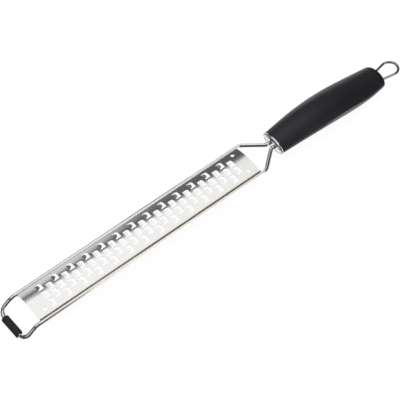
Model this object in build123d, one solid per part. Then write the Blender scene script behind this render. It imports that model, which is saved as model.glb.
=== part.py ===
from build123d import *
import os
from math import acos, asin, atan2, cos, degrees, hypot, radians, sin, sqrt, tan

# Rasp zester: an arched, pierced steel blade between the rails of one bent wire, with a rubber
# foot at the front and a soft handle behind. Millimetres. X runs from the foot to the handle,
# Y across, Z up from the table on which the foot and the handle's belly rest.

# Frame wire
wire_diameter = 3.1
rail_spacing = 33.0         # between the rails' centre lines
bow_reach = 11.8            # how far the front bar lies ahead of the front bend
bow_bend_radius = 10.0
bow_corner_radius = 6.5
shoulder_bend_radius = 6.0
neck_run = 16.4             # from the shoulder bend to the neck bend, along the tool
neck_bend_radius = 3.0
tang_spacing = 5.4
tang_run = 44.0             # from the neck bend to the wire's end inside the handle

# Rubber foot
foot_end_gap = 0.6          # from the foot's end to the bend beside it
foot_width = 6.3            # along the tool
foot_below_bar = 3.1        # flat sole below the bar's centre line
foot_sole_width = 5.0
foot_edge_radius = 0.5

# Blade
blade_length = 211.2
blade_setback = 4.8         # from the front bend to the blade's front edge
blade_tail_gap = 4.5        # from the blade's rear edge to the shoulder bend
plate_thickness = 0.5
crown_above_rails = 3.7
arch_radius = 51.4
fold_radius = 0.65
flange_below_rails = 1.2

# Holes and teeth
hole_rows = 13
first_hole_setback = 18.2   # from the blade's front edge to the first hole's rear edge
last_hole_setback = 11.75   # from the last hole's rear edge to the blade's rear edge
hole_length = 4.8
hole_width = 6.7
hole_side_margin = 2.94     # from the outermost hole to the flange's face
hole_corner_radius = 0.7
tooth_width = 5.0
tooth_reach = 2.65          # along the blade
tooth_slope = 10.0          # degrees up from the plate
tooth_bend_radius = 1.5
tooth_thickness = 0.38
tooth_root = 0.5            # how far a tooth's root runs into the plate
pilot_diameter = 3.0
front_pilot_setback = 8.4
rear_pilot_setback = 7.5
far_pilot_side_margin = 4.45    # from the pilot's centre to the flange's face
near_pilot_side_margin = 5.15

# Welds between the blade's folded edges and the rails
weld_count = 6              # on each rail
weld_length = 3.0
weld_drop = 0.35            # below the line where fold and rail touch
weld_height = 0.75
weld_end_margin = 14.0

# Handle
handle_length = 106.3
handle_width = 30.0
handle_thickness = 18.7
skin_thickness = 2.6
belly_gap = 0.2             # from the lowest station to the table
core_end_wall = 0.6         # of the core around the ferrule's and the cap's spigots
rim_reveal = 0.1            # how far ferrule and cap stay inside the skin's outline
skin_rim_radius = 0.3
side_flat_depth = 0.9
side_flat_tilt = 10.0       # degrees below the horizontal
side_flat_length = 80.0
side_flat_from_rim = 60.0

# Ferrule
neck_gap = 1.5              # from the neck bend to the ferrule's tip
flange_thickness = 1.4
flange_edge_radius = 0.9
dome_inset = 1.0
dome_depth = 1.0
dome_start = 45.0           # degrees of an oval ball's latitude: the face is only its cap
ferrule_spigot_length = 5.0

# Sleeve on the tangs
sleeve_length = 18.0
sleeve_wall = 1.1
sleeve_gap = 1.0            # behind the ferrule's spigot

# Rear cap
cap_depth = 4.7
cap_start = 0.0             # a whole half of the oval ball
cap_spigot_length = 6.0

# Hanging loop
loop_wire_diameter = 2.1
loop_drop = 1.73            # below the middle of the handle's rear end
loop_root_spacing = 9.9
loop_eye_radius = 7.15      # of the wire's centre line
loop_strand_from_cap = 11.85    # from the cap's tip to the eye's centre
loop_root_radius = 4.0
hook_reach = 1.5            # the strands' ends turn towards each other
hook_radius = 1.2
hook_gap = 0.3

# Fits
slip = 0.05                 # between a wire and its bore, or a spigot and its socket
free = 0.3                  # where a piece needs room
overrun = 1.0               # how far a cut runs past a face

# Shares of the handle's sizes at its stations, front to rear
station_shares = [0.0, 0.12, 0.29, 0.478, 0.647, 0.8, 0.92, 1.0]
half_width_shares = [0.794, 0.862, 0.949, 1.0, 0.997, 0.946, 0.862, 0.784]
half_height_shares = [0.717, 0.826, 0.94, 1.0, 1.006, 0.963, 0.87, 0.799]
rise_shares = [0.03, 0.0815, 0.1277, 0.1055, 0.0206, -0.0708, -0.103, -0.105]

# Sizes that follow from those above
wire_radius = wire_diameter / 2
loop_wire_radius = loop_wire_diameter / 2
y_rail = rail_spacing / 2
y_tang = tang_spacing / 2
y_flange = y_rail - wire_radius
foot_length = rail_spacing - 2 * (bow_corner_radius + foot_end_gap)
rail_run = blade_setback + blade_length + blade_tail_gap
neck_tangent = neck_bend_radius * tan(atan2(y_rail - y_tang, neck_run) / 2)
ferrule_depth = flange_thickness + dome_depth
rim_from_neck = neck_tangent + neck_gap + ferrule_depth
row_pitch = (blade_length - first_hole_setback - last_hole_setback) / (hole_rows - 1 / 2)
column_pitch = (y_flange - hole_side_margin - hole_width / 2) / 2
lowest_share = max(height / 2 - rise for height, rise in zip(half_height_shares, rise_shares))
rail_height = belly_gap + lowest_share * handle_thickness

# Places along the tool, with the origin at its middle
loop_end_from_bend = (rail_run + neck_run + rim_from_neck + handle_length + cap_depth
                      + loop_strand_from_cap + loop_eye_radius + loop_wire_radius)
foot_front_from_bend = bow_reach + foot_width / 2
x_bend = (foot_front_from_bend - loop_end_from_bend) / 2
x_bar = x_bend - bow_reach
x_blade = x_bend + blade_setback
x_shoulder = x_bend + rail_run
x_neck = x_shoulder + neck_run
x_rim = x_neck + rim_from_neck
x_tail = x_rim + handle_length
x_cap_tip = x_tail + cap_depth
x_eye = x_cap_tip + loop_strand_from_cap
z_bar = foot_below_bar
z_crown = rail_height + crown_above_rails
z_arch_axis = z_crown - arch_radius
z_loop = rail_height + rise_shares[-1] * handle_thickness - loop_drop


def round_bar(path, diameter):
    """A round wire along a path."""
    section = Plane(path @ 0, z_dir=path % 0) * Circle(diameter / 2)
    return sweep(section, path=path)


def oval_prism(width, height, length, x, z):
    """A flat-sided oval bar that starts at x and runs along the tool."""
    outline = Plane(origin=(x, 0, z), x_dir=(0, 1, 0), z_dir=(1, 0, 0)) * SlotOverall(width, height)
    return extrude(outline, amount=length)


def cross_rod(x, y, z, diameter, length):
    """A round rod or bore along the tool, starting at x."""
    end = Plane(origin=(x, y, z), x_dir=(0, 1, 0), z_dir=(1, 0, 0)) * Circle(diameter / 2)
    return extrude(end, amount=length)


def frame_wire():
    """One wire from tang to tang: neck, shoulder, rail, front bow, front bar and back again."""
    side = [
        (x_neck + tang_run, y_tang, rail_height),
        (x_neck, y_tang, rail_height),
        (x_shoulder, y_rail, rail_height),
        (x_bend, y_rail, rail_height),
        (x_bar, y_rail, z_bar),
    ]
    side_radii = [neck_bend_radius, shoulder_bend_radius, bow_bend_radius, bow_corner_radius]
    other = [(x, -y, z) for x, y, z in reversed(side)]
    path = FilletPolyline(*side, *other, radius=side_radii + side_radii[::-1])
    return round_bar(path, wire_diameter)


def front_foot():
    """Rubber sleeve on the front bar: round on top, flat underneath."""
    top = foot_width / 2
    end_plane = Plane(origin=(x_bar, foot_length / 2, z_bar), x_dir=(1, 0, 0), z_dir=(0, -1, 0))
    with BuildSketch(end_plane) as outline:
        Circle(top)
        with BuildLine():
            Polyline(
                (-top, 0), (-foot_sole_width / 2, -foot_below_bar),
                (foot_sole_width / 2, -foot_below_bar), (top, 0), close=True,
            )
        make_face()
        with Locations((0, -foot_below_bar - top)):
            Rectangle(foot_width, foot_width, mode=Mode.SUBTRACT)
    body = extrude(outline.sketch, amount=foot_length)
    ends = body.faces().sort_by(Axis.Y)
    body = fillet(ends[0].edges() + ends[-1].edges(), foot_edge_radius)
    bore = Plane(origin=(x_bar, 0, z_bar), z_dir=(0, 1, 0)) * Cylinder(wire_radius, foot_length + overrun)
    return body - bore


def blade_contour(inset):
    """One face line of the blade's section, from flange to flange, inset from the outer face."""
    arch, fold, y_face = arch_radius - inset, fold_radius - inset, y_flange - inset
    y_fold = y_flange - fold_radius
    z_fold = z_arch_axis + sqrt((arch_radius - fold_radius) ** 2 - y_fold ** 2)
    reach = arch_radius - fold_radius
    touch = (y_fold * arch / reach, z_arch_axis + (z_fold - z_arch_axis) * arch / reach)
    turn = acos(y_fold / reach) / 2
    middle = (y_fold + fold * cos(turn), z_fold + fold * sin(turn))
    side = (y_face, z_fold)
    foot = (y_face, rail_height - flange_below_rails)

    def flip(point):
        return (-point[0], point[1])

    return [
        Line(foot, side),
        ThreePointArc(side, middle, touch),
        ThreePointArc(touch, (0, z_crown - inset), flip(touch)),
        ThreePointArc(flip(touch), flip(middle), flip(side)),
        Line(flip(side), flip(foot)),
    ]


def on_arch(x, y):
    """The place on the blade's crown line, turned about the arch's axis to stand at y."""
    turn = degrees(asin(y / arch_radius))
    return Pos(x, 0, z_arch_axis) * Rot(-turn, 0, 0) * Pos(0, 0, arch_radius)


def hole_places():
    """Rear edge and side place of every hole: rows of three and, half a pitch on, rows of two."""
    first = x_blade + first_hole_setback
    places = []
    for row in range(hole_rows):
        x = first + row * row_pitch
        places += [(x, column * column_pitch) for column in (-2, 0, 2)]
        places += [(x + row_pitch / 2, column * column_pitch) for column in (-1, 1)]
    return places


def tooth():
    """A D-shaped tongue whose root is at x = 0 inside the plate, bent up towards the rear."""
    middle = -plate_thickness / 2
    run = tooth_reach + overrun
    tip = (run, middle + run * tan(radians(tooth_slope)))
    side = FilletPolyline((-tooth_root, middle), (0, middle), tip, radius=tooth_bend_radius)
    strip = extrude(Plane.XZ * trace(side, tooth_thickness), amount=tooth_width, both=True)
    straight = tooth_reach - tooth_width / 2
    with BuildSketch() as plan:
        with Locations((straight, 0)):
            Circle(tooth_width / 2)
        with Locations(((straight - tooth_root) / 2, 0)):
            Rectangle(straight + tooth_root, tooth_width)
        with Locations((-tooth_root - tooth_width, 0)):
            Rectangle(2 * tooth_width, 2 * tooth_width, mode=Mode.SUBTRACT)
    return strip & extrude(plan.sketch, amount=2 * tooth_reach, both=True)


def grating_blade():
    """The arched plate with its folded edges, holes, teeth and pilot holes."""
    section_plane = Plane(origin=(x_blade, 0, 0), x_dir=(0, 1, 0), z_dir=(1, 0, 0))
    outer, inner = blade_contour(0), blade_contour(plate_thickness)
    ends = [Line(outer[0] @ 0, inner[0] @ 0), Line(outer[-1] @ 1, inner[-1] @ 1)]
    section = section_plane * make_face(Wire(outer + inner + ends).edges())
    plate = extrude(section, amount=blade_length)
    cut_depth = 2 * (plate_thickness + overrun)
    hole = extrude(RectangleRounded(hole_length, hole_width, hole_corner_radius),
                   amount=cut_depth / 2, both=True)
    pilot = Cylinder(pilot_diameter / 2, cut_depth)
    places = hole_places()
    cuts = [on_arch(x - hole_length / 2, y) * hole for x, y in places]
    x_rear = x_blade + blade_length - rear_pilot_setback
    y_far, y_near = y_flange - far_pilot_side_margin, near_pilot_side_margin - y_flange
    cuts += [on_arch(x_rear, y) * pilot for y in (y_far, y_near)]
    cuts.append(on_arch(x_blade + front_pilot_setback, y_near) * pilot)
    one = tooth()
    teeth = [on_arch(x - hole_length, y) * one for x, y in places]
    return plate - cuts + teeth


def rail_welds():
    """Small welds under the line where each folded edge touches its rail."""
    first = x_blade + weld_end_margin
    step = (blade_length - 2 * weld_end_margin) / (weld_count - 1)
    width = wire_radius
    beads = []
    for side in (1, -1):
        rail = cross_rod(x_blade, side * y_rail, rail_height, wire_diameter, blade_length)
        for index in range(weld_count):
            z = rail_height - weld_drop - weld_height / 2
            place = Pos(first + index * step, side * (y_flange + width / 2), z)
            beads.append(place * Box(weld_length, width, weld_height) - rail)
    return Compound(children=beads)


def station(index, inset):
    """The handle's oval section at a station, inset from the skin's outer face."""
    x = x_rim + station_shares[index] * handle_length
    z = rail_height + rise_shares[index] * handle_thickness
    half_width = half_width_shares[index] * handle_width / 2 - inset
    half_height = half_height_shares[index] * handle_thickness / 2 - inset
    plane = Plane(origin=(x, 0, z), x_dir=(0, 1, 0), z_dir=(1, 0, 0))
    return plane * Ellipse(half_width, half_height)


def handle_body(inset):
    """The handle's swelling form between its front rim and its rear end."""
    return loft([station(index, inset) for index in range(len(station_shares))])


def side_flats():
    """Two blocks that take a shallow flat off each lower side of the handle."""
    blocks = []
    reach = handle_width / 2 - side_flat_depth
    for side in (1, -1):
        place = Pos(x_rim + side_flat_from_rim, 0, rail_height) * Rot(side * -side_flat_tilt, 0, 0)
        block = Box(side_flat_length, handle_width, 2 * handle_thickness)
        blocks.append(place * Pos(0, side * (reach + handle_width / 2), 0) * block)
    return blocks


def handle_grip():
    """The soft skin: the handle's form with its side flats, hollow for the core."""
    body = handle_body(0)
    rims = body.faces().sort_by(Axis.X)
    body = fillet(rims[0].edges() + rims[-1].edges(), skin_rim_radius)
    body = body - side_flats()
    return body - handle_body(skin_thickness)


def tang_bores(x, length, clearance):
    """Bores for both tangs."""
    diameter = wire_diameter + 2 * clearance
    return [cross_rod(x, side * y_tang, rail_height, diameter, length) for side in (1, -1)]


def oval_dome(index, inset, depth, latitude, direction, x):
    """The cap of an ellipsoid above a latitude, on a station's section, its tip forward or back."""
    half_width = half_width_shares[index] * handle_width / 2 - inset
    half_height = half_height_shares[index] * handle_thickness / 2 - inset
    z = rail_height + rise_shares[index] * handle_thickness
    ring, level = cos(radians(latitude)), sin(radians(latitude))
    length = depth / (1 - level)
    unit_dome = Rot(0, direction * 90, 0) * Sphere(1, arc_size1=latitude, align=None)
    dome = scale(unit_dome, by=(length, half_width / ring, half_height / ring))
    return Pos(x - direction * level * length, 0, z) * dome


def spigot(index, length, clearance):
    """Oval spigot at an end station, or with a clearance its socket; a negative length runs forward."""
    return extrude(station(index, skin_thickness + core_end_wall - clearance), amount=length)


def ferrule():
    """Oval chrome cap in the handle's mouth, with a spigot behind and two bores for the tangs."""
    rim = station(0, rim_reveal)
    flange = extrude(rim, amount=-flange_thickness)
    front = flange.faces().sort_by(Axis.X)[0]
    flange = fillet(front.edges(), flange_edge_radius)
    dome = oval_dome(0, rim_reveal + dome_inset, dome_depth, dome_start, -1, x_rim - flange_thickness)
    stub = spigot(0, ferrule_spigot_length, 0)
    bores = tang_bores(x_rim - ferrule_depth - overrun,
                       ferrule_depth + ferrule_spigot_length + 2 * overrun, 2 * slip)
    return flange + dome + stub - bores


def sleeve_start():
    return x_rim + ferrule_spigot_length + sleeve_gap


def sleeve_width():
    return tang_spacing + wire_diameter + 2 * sleeve_wall


def sleeve_height():
    return wire_diameter + 2 * sleeve_wall


def tang_sleeve():
    """Metal sleeve pressed on both tangs inside the core."""
    body = oval_prism(sleeve_width(), sleeve_height(), sleeve_length, sleeve_start(), rail_height)
    return body - tang_bores(sleeve_start() - overrun, sleeve_length + 2 * overrun, 0)


def loop_bores(x, length, clearance):
    """Bores for both strands of the hanging loop."""
    diameter = loop_wire_diameter + 2 * clearance
    return [cross_rod(x, side * loop_root_spacing / 2, z_loop, diameter, length) for side in (1, -1)]


def handle_core():
    """Hard core: sockets for the spigot, the sleeve and the tangs, and a rear pocket for the cap."""
    last = len(station_shares) - 1
    body = handle_body(skin_thickness)
    socket = spigot(0, ferrule_spigot_length + sleeve_gap, slip)
    seat = oval_prism(sleeve_width() + 2 * slip, sleeve_height() + 2 * slip, sleeve_length,
                      sleeve_start(), rail_height)
    tangs = tang_bores(sleeve_start() + sleeve_length - overrun,
                       x_neck + tang_run + free - sleeve_start() - sleeve_length + overrun, slip)
    pocket_depth = cap_spigot_length + loop_wire_diameter + 2 * hook_gap
    pocket = spigot(last, -pocket_depth, slip)
    strands = loop_bores(x_tail - pocket_depth, pocket_depth + overrun, slip)
    return body - socket - seat - tangs - pocket - strands


def hanging_loop():
    """Pear-shaped eye of thin wire, its two strands running into the cap and hooked behind it."""
    x_hook = x_tail - cap_spigot_length - hook_gap - loop_wire_radius
    y_root = loop_root_spacing / 2
    to_eye = hypot(loop_strand_from_cap, y_root)
    slope = asin(loop_eye_radius / to_eye) - atan2(y_root, loop_strand_from_cap)
    x_touch = x_eye - loop_eye_radius * sin(slope)
    y_touch = loop_eye_radius * cos(slope)
    strands = []
    for side in (1, -1):
        points = [(x_hook, y_root - hook_reach), (x_hook, y_root), (x_cap_tip, y_root), (x_touch, y_touch)]
        route = [(x, side * y, z_loop) for x, y in points]
        strands.append(FilletPolyline(*route, radius=[hook_radius, loop_root_radius]))
    eye = ThreePointArc((x_touch, y_touch, z_loop), (x_eye + loop_eye_radius, 0, z_loop),
                        (x_touch, -y_touch, z_loop))
    path = Wire(strands[0].edges() + eye.edges() + strands[1].edges())
    return round_bar(path, loop_wire_diameter)


def rear_cap():
    """Domed plug in the handle's rear end, with two bores for the loop's strands."""
    last = len(station_shares) - 1
    dome = oval_dome(last, rim_reveal, cap_depth, cap_start, 1, x_tail)
    stub = spigot(last, -cap_spigot_length, 0)
    bores = loop_bores(x_tail - cap_spigot_length - overrun,
                       cap_spigot_length + cap_depth + 2 * overrun, slip)
    return dome + stub - bores


nodes = {
    "grating_blade": grating_blade,
    "frame_wire": frame_wire,
    "rail_welds": rail_welds,
    "front_foot": front_foot,
    "ferrule": ferrule,
    "tang_sleeve": tang_sleeve,
    "handle_core": handle_core,
    "handle_grip": handle_grip,
    "rear_cap": rear_cap,
    "hanging_loop": hanging_loop,
}

os.makedirs("parts", exist_ok=True)
for name, make in nodes.items():
    export_step(make(), f"parts/{name}.step")
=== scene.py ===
from math import cos, pi, radians, sin

import bpy
from mathutils import Matrix, Vector

# Rasp zester in its studio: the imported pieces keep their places, and this script gives them their
# finishes, the table, the light and the camera. Metres, X from the foot to the hanging loop,
# Y across the tool, Z up from the table.

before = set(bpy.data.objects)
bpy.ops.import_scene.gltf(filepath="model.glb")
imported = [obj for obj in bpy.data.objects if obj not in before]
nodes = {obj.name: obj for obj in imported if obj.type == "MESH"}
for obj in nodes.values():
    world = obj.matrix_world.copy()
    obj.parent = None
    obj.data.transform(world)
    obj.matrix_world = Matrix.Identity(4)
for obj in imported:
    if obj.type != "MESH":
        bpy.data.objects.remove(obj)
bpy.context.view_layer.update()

# Finishes
grain_height = 0.0001           # of the grain that every finish raises
crevice_shade_start = -0.0142            # across the blade, the painted crevice shade grows from here
crevice_shade_full = -0.0147             # to here, on the fold at the near rail
mix_share, mix_first, mix_second, mix_result = 0, 6, 7, 2   # a Mix node's sockets for colours

# Table and room
table_size = 16.0
table_drop = 0.0003             # below the foot's sole, so that the two never share a plane
table_glow = 0.95
table_grey = (0.15, 0.15, 0.15, 1.0)
white = (1.0, 1.0, 1.0, 1.0)
room_grey = (0.1, 0.1, 0.105, 1.0)

# Soft panels round the tool. Each row holds the azimuth and elevation in degrees and the distance
# at which the panel stands, its width and height, and the brightness that a mirror shows of it.
soft_panels = {
    "ceiling_light": (90.0, 77.5, 2.3, 2.4, 2.35, 1.05),
    "near_strip_light": (-71.0, -8.0, 2.37, 0.62, 4.0, 1.07),
    "near_high_light": (-64.5, 50.0, 2.4, 0.55, 1.6, 1.0),
    "far_high_light": (92.0, 50.0, 2.35, 0.8, 0.35, 0.8),
    "left_light": (-178.0, 38.0, 2.4, 1.2, 1.2, 1.1),
    "far_strip_light": (79.5, 22.0, 2.4, 0.42, 1.2, 0.8),
    "far_table_glow": (58.0, -8.0, 1.5, 0.7, 1.1, 1.6),
    "table_glow_at_ferrule": (128.0, -49.0, 1.5, 1.0, 1.0, 0.95),
    "table_glow_at_handle": (-29.0, -55.0, 1.5, 1.3, 1.2, 1.6),
}

# Camera, from the fit of the photograph to the grid of holes and the two rails
focal_length = 149.44           # millimetres, on a sensor of this width
sensor_width = 36.0
shift_right = -0.00125
shift_up = 0.00125
camera_place = (-0.44205, -0.65430, 1.0312)
camera_across = (0.781713, -0.619986, -0.067399)
camera_upward = (0.527606, 0.599844, 0.601514)
camera_backward = (-0.332502, -0.505771, 0.796014)


class Value:
    """An output socket in a finish; arithmetic on it adds the Math nodes."""

    def __init__(self, finish, socket):
        self.finish = finish
        self.socket = socket

    def math(self, operation, *terms):
        return self.finish.node("ShaderNodeMath", {"operation": operation}, dict(enumerate(terms)))

    def __add__(self, other):
        return self.math("ADD", self, other)

    __radd__ = __add__

    def __mul__(self, other):
        return self.math("MULTIPLY", self, other)

    __rmul__ = __mul__


class Finish:
    """A procedural material on a piece, with one Principled shader."""

    def __init__(self, name):
        self.material = bpy.data.materials.new(name)
        self.material.use_nodes = True
        self.tree = self.material.node_tree
        self.tree.nodes.clear()

    def node(self, kind, settings, inputs, output=0):
        """Any node: its type, its settings, then the values or links of its sockets."""
        made = self.tree.nodes.new(kind)
        for key, value in settings.items():
            if key == "stops":
                for element, (place, grey) in zip(made.color_ramp.elements, value):
                    element.position = place
                    element.color = (grey, grey, grey, 1.0)
            else:
                setattr(made, key, value)
        for key, value in inputs.items():
            if isinstance(value, Value):
                self.tree.links.new(value.socket, made.inputs[key])
            else:
                made.inputs[key].default_value = value
        return Value(self, made.outputs[output]) if made.outputs else None

    def own(self):
        """The piece's own coordinates, in metres."""
        return self.node("ShaderNodeTexCoord", {}, {}, "Object")

    def place(self, stretch=(1.0, 1.0, 1.0)):
        """The piece's own coordinates, stretched for a drawn or brushed grain."""
        return self.node("ShaderNodeMapping", {}, {"Vector": self.own(), "Scale": stretch})

    def side(self):
        """The place across the tool, in metres."""
        return self.node("ShaderNodeSeparateXYZ", {}, {"Vector": self.own()}, "Y")

    def noise(self, place, scale=1.0, detail=2.0, roughness=0.5):
        """A soft noise between 0 and 1; a stretched place carries its own scale."""
        return self.node("ShaderNodeTexNoise", {}, {
            "Vector": place, "Scale": scale, "Detail": detail, "Roughness": roughness})

    def ramp(self, value, low, high):
        """A value spread out, so that it is 0 up to low and 1 from high."""
        return self.node("ShaderNodeValToRGB", {"stops": ((low, 0.0), (high, 1.0))}, {"Fac": value})

    def blend(self, share, first, second):
        """A colour between two, by a share; each is a value or red, green and blue."""
        ends = [(*end, 1.0) if isinstance(end, tuple) else end for end in (first, second)]
        sockets = {mix_share: share, mix_first: ends[0], mix_second: ends[1]}
        return self.node("ShaderNodeMix", {"data_type": "RGBA"}, sockets, mix_result)

    def bump(self, height, strength):
        return self.node("ShaderNodeBump", {}, {
            "Height": height, "Strength": strength, "Distance": grain_height})

    def shade(self, inputs):
        """The Principled shader with its own values and links, led to the output."""
        shader = self.node("ShaderNodeBsdfPrincipled", {}, inputs)
        self.node("ShaderNodeOutputMaterial", {}, {"Surface": shader})
        return self.material


def brushed_blade():
    """Stamped stainless sheet, finely brushed along, with a brown painted shade along the crevice
    where the fold meets the near rail.
    """
    finish = Finish("brushed_blade_steel")
    duller_steel, brighter_steel = (0.76, 0.757, 0.745), (0.775, 0.77, 0.757)
    # the brown of the painted shade in the crevice at the near rail
    crevice_shade_brown = (0.4, 0.31, 0.2)
    satin = 0.14
    grain = finish.noise(finish.place((40.0, 4200.0, 4200.0)), detail=3.0, roughness=0.65)
    cloud = finish.noise(finish.place(), 90.0, 3.0)
    tone = finish.ramp(cloud * 0.7 + grain * 0.3, 0.3, 0.7)
    steel = finish.blend(tone, duller_steel, brighter_steel)
    # painted shade: a brown line along the fold at the near rail, standing in for the dark crevice
    # there
    painted_crevice_shade = finish.node("ShaderNodeMapRange", {}, {
        "Value": finish.side(), "From Min": crevice_shade_start, "From Max": crevice_shade_full})
    return finish.shade({
        "Base Color": finish.blend(painted_crevice_shade * (cloud * 0.6 + 0.6), steel, crevice_shade_brown),
        "Metallic": 1.0,
        "Roughness": grain * 0.06 + cloud * 0.03 + satin,
        "Normal": finish.bump(grain, 0.015),
    })


def bright_wire():
    """Drawn and plated frame wire: mirror bright, with long faint drawing lines."""
    finish = Finish("bright_drawn_wire")
    duller_plating, brighter_plating = (0.75, 0.735, 0.71), (0.81, 0.8, 0.78)
    polish = 0.03
    lines = finish.noise(finish.place((25.0, 3000.0, 3000.0)))
    cloud = finish.noise(finish.place(), 160.0, 3.0)
    return finish.shade({
        "Base Color": finish.blend(cloud, duller_plating, brighter_plating),
        "Metallic": 1.0,
        "Roughness": cloud * 0.04 + polish,
        "Normal": finish.bump(lines, 0.006),
    })


def weld_bead():
    """Resistance welds: rippled, dull, with a straw heat tint."""
    finish = Finish("straw_tinted_weld")
    straw, bare_steel = (0.42, 0.34, 0.25), (0.62, 0.58, 0.52)
    dull = 0.3
    ripple = finish.noise(finish.place((1.0, 0.4, 0.4)), 2600.0, 3.0, 0.6)
    tint = finish.noise(finish.place(), 900.0)
    return finish.shade({
        "Base Color": finish.blend(tint, straw, bare_steel),
        "Metallic": 1.0,
        "Roughness": ripple * 0.25 + dull,
        "Normal": finish.bump(ripple, 0.5),
    })


def foot_rubber():
    """Moulded rubber: matt, with a fine spark-eroded grain and a little dust."""
    finish = Finish("moulded_foot_rubber")
    clean_rubber, dusty_rubber = (0.029, 0.029, 0.031), (0.046, 0.046, 0.046)
    matt = 0.55
    grain = finish.noise(finish.place(), 5200.0, roughness=0.6)
    dust = finish.ramp(finish.noise(finish.place(), 420.0, 4.0, 0.6), 0.45, 0.8)
    return finish.shade({
        "Base Color": finish.blend(dust, clean_rubber, dusty_rubber),
        "Roughness": grain * 0.2 + matt,
        "Specular IOR Level": 0.35,
        "Normal": finish.bump(grain, 0.35),
    })


def polished_ferrule():
    """Die-cast ferrule, chrome plated: bright, with a barely orange-peeled skin."""
    finish = Finish("plated_ferrule")
    duller_chrome, brighter_chrome = (0.68, 0.68, 0.71), (0.74, 0.74, 0.77)
    polish = 0.06
    peel = finish.noise(finish.place(), 700.0, 1.0)
    cloud = finish.noise(finish.place(), 220.0, 3.0)
    return finish.shade({
        "Base Color": finish.blend(cloud, duller_chrome, brighter_chrome),
        "Metallic": 1.0,
        "Roughness": cloud * 0.05 + polish,
        "Normal": finish.bump(peel, 0.05),
    })


def pressed_sleeve():
    """Drawn steel sleeve on the tangs, with lengthwise die marks."""
    finish = Finish("pressed_sleeve_steel")
    duller_steel, brighter_steel = (0.5, 0.5, 0.5), (0.64, 0.64, 0.63)
    drawn = 0.28
    marks = finish.noise(finish.place((30.0, 2500.0, 2500.0)), detail=3.0)
    return finish.shade({
        "Base Color": finish.blend(marks, duller_steel, brighter_steel),
        "Metallic": 1.0,
        "Roughness": marks * 0.2 + drawn,
        "Normal": finish.bump(marks, 0.15),
    })


def core_plastic():
    """Moulded core of the handle: dark grey, with flow marks along it."""
    finish = Finish("moulded_core_plastic")
    darker_grey, lighter_grey = (0.06, 0.06, 0.065), (0.1, 0.1, 0.105)
    moulded = 0.42
    flow = finish.noise(finish.place((60.0, 260.0, 260.0)), detail=3.0)
    grain = finish.noise(finish.place(), 4000.0)
    return finish.shade({
        "Base Color": finish.blend(flow, darker_grey, lighter_grey),
        "Roughness": grain * 0.15 + moulded,
        "Normal": finish.bump(grain, 0.12),
    })


def soft_grip():
    """Soft-touch skin of the handle: satin, finely pebbled, slightly rubbed where it is held."""
    finish = Finish("soft_touch_grip")
    fresh_black, rubbed_black = (0.0145, 0.0148, 0.018), (0.019, 0.0193, 0.0228)
    violet_sheen = (0.9, 0.89, 1.0, 1.0)
    satin = 0.37
    pebble = finish.noise(finish.place(), 3600.0, roughness=0.6)
    rubbed = finish.ramp(finish.noise(finish.place((14.0, 40.0, 40.0)), detail=3.0), 0.35, 0.7)
    return finish.shade({
        "Base Color": finish.blend(rubbed, fresh_black, rubbed_black),
        "Roughness": pebble * 0.1 + rubbed * 0.05 + satin,
        "Specular Tint": violet_sheen,
        "Normal": finish.bump(pebble, 0.12),
    })


def cap_plastic():
    """Moulded rear cap: like the skin, a little smoother."""
    finish = Finish("moulded_cap_plastic")
    darker_black, lighter_black = (0.011, 0.011, 0.012), (0.017, 0.017, 0.018)
    satin = 0.36
    grain = finish.noise(finish.place(), 4200.0)
    cloud = finish.noise(finish.place(), 240.0, 3.0)
    return finish.shade({
        "Base Color": finish.blend(cloud, darker_black, lighter_black),
        "Roughness": grain * 0.1 + satin,
        "Normal": finish.bump(grain, 0.1),
    })


def loop_wire():
    """Thin spring wire of the hanging loop: darker plating, drawing lines round the bend."""
    finish = Finish("darker_loop_wire")
    darker_plating, lighter_plating = (0.3, 0.3, 0.31), (0.42, 0.42, 0.43)
    polish = 0.12
    lines = finish.noise(finish.place((900.0, 900.0, 2600.0)))
    cloud = finish.noise(finish.place(), 300.0, 3.0)
    return finish.shade({
        "Base Color": finish.blend(cloud, darker_plating, lighter_plating),
        "Metallic": 1.0,
        "Roughness": cloud * 0.08 + polish,
        "Normal": finish.bump(lines, 0.04),
    })


finishes = {
    "grating_blade": brushed_blade,
    "frame_wire": bright_wire,
    "rail_welds": weld_bead,
    "front_foot": foot_rubber,
    "ferrule": polished_ferrule,
    "tang_sleeve": pressed_sleeve,
    "handle_core": core_plastic,
    "handle_grip": soft_grip,
    "rear_cap": cap_plastic,
    "hanging_loop": loop_wire,
}


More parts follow.
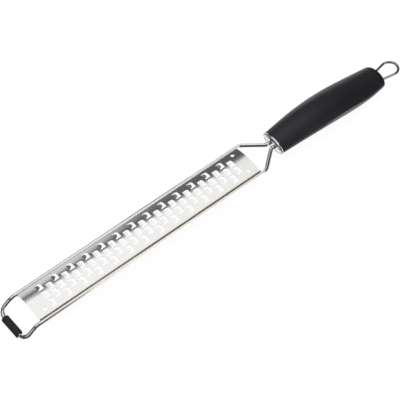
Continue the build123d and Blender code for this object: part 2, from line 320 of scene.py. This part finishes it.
def coat(piece, material):
    """Puts a finish on all of a piece."""
    if not piece.material_slots:
        piece.data.materials.append(None)
    for slot in piece.material_slots:
        slot.material = material


def table():
    """A plain pale table top, wide enough for every view."""
    bpy.ops.object.select_all(action="DESELECT")
    bpy.ops.mesh.primitive_plane_add(size=table_size, location=(0.0, 0.0, -table_drop))
    top = bpy.context.object
    top.name = "table_top"
    coat(top, Finish("pale_table").shade({
        "Base Color": table_grey,
        "Roughness": 0.9,
        "Specular IOR Level": 0.0,
        "Emission Color": white,
        "Emission Strength": table_glow,
    }))
    top.visible_glossy = False


def soft_panel(name, azimuth, elevation, distance, width, height, brightness):
    """A soft studio light that faces the tool, but that the camera doesn't see."""
    light = bpy.data.lights.new(name, "AREA")
    light.shape = "RECTANGLE"
    light.size = width
    light.size_y = height
    light.energy = pi * width * height * brightness
    panel = bpy.data.objects.new(name, light)
    level = distance * cos(radians(elevation))
    place = Vector((level * cos(radians(azimuth)), level * sin(radians(azimuth)),
                    distance * sin(radians(elevation))))
    facing = (-place).to_track_quat("-Z", "Y").to_matrix().to_4x4()
    panel.matrix_world = Matrix.Translation(place) @ facing
    panel.visible_camera = False
    bpy.context.scene.collection.objects.link(panel)


def room():
    """The dim studio round the table."""
    world = bpy.data.worlds.new("studio_room")
    world.use_nodes = True
    world.node_tree.nodes["Background"].inputs["Color"].default_value = room_grey
    bpy.context.scene.world = world
    bpy.context.scene.view_settings.view_transform = "Standard"


def photo_camera():
    """The camera at the photograph's viewing angle."""
    camera = bpy.data.objects.new("photo_camera", bpy.data.cameras.new("photo_camera"))
    camera.data.lens = focal_length
    camera.data.sensor_width = sensor_width
    camera.data.shift_x = shift_right
    camera.data.shift_y = shift_up
    turned = Matrix((camera_across, camera_upward, camera_backward)).transposed().to_4x4()
    camera.matrix_world = Matrix.Translation(camera_place) @ turned
    bpy.context.scene.collection.objects.link(camera)
    bpy.context.scene.camera = camera


for name, make in finishes.items():
    coat(nodes[name], make())
table()
for name, values in soft_panels.items():
    soft_panel(name, *values)
room()
photo_camera()
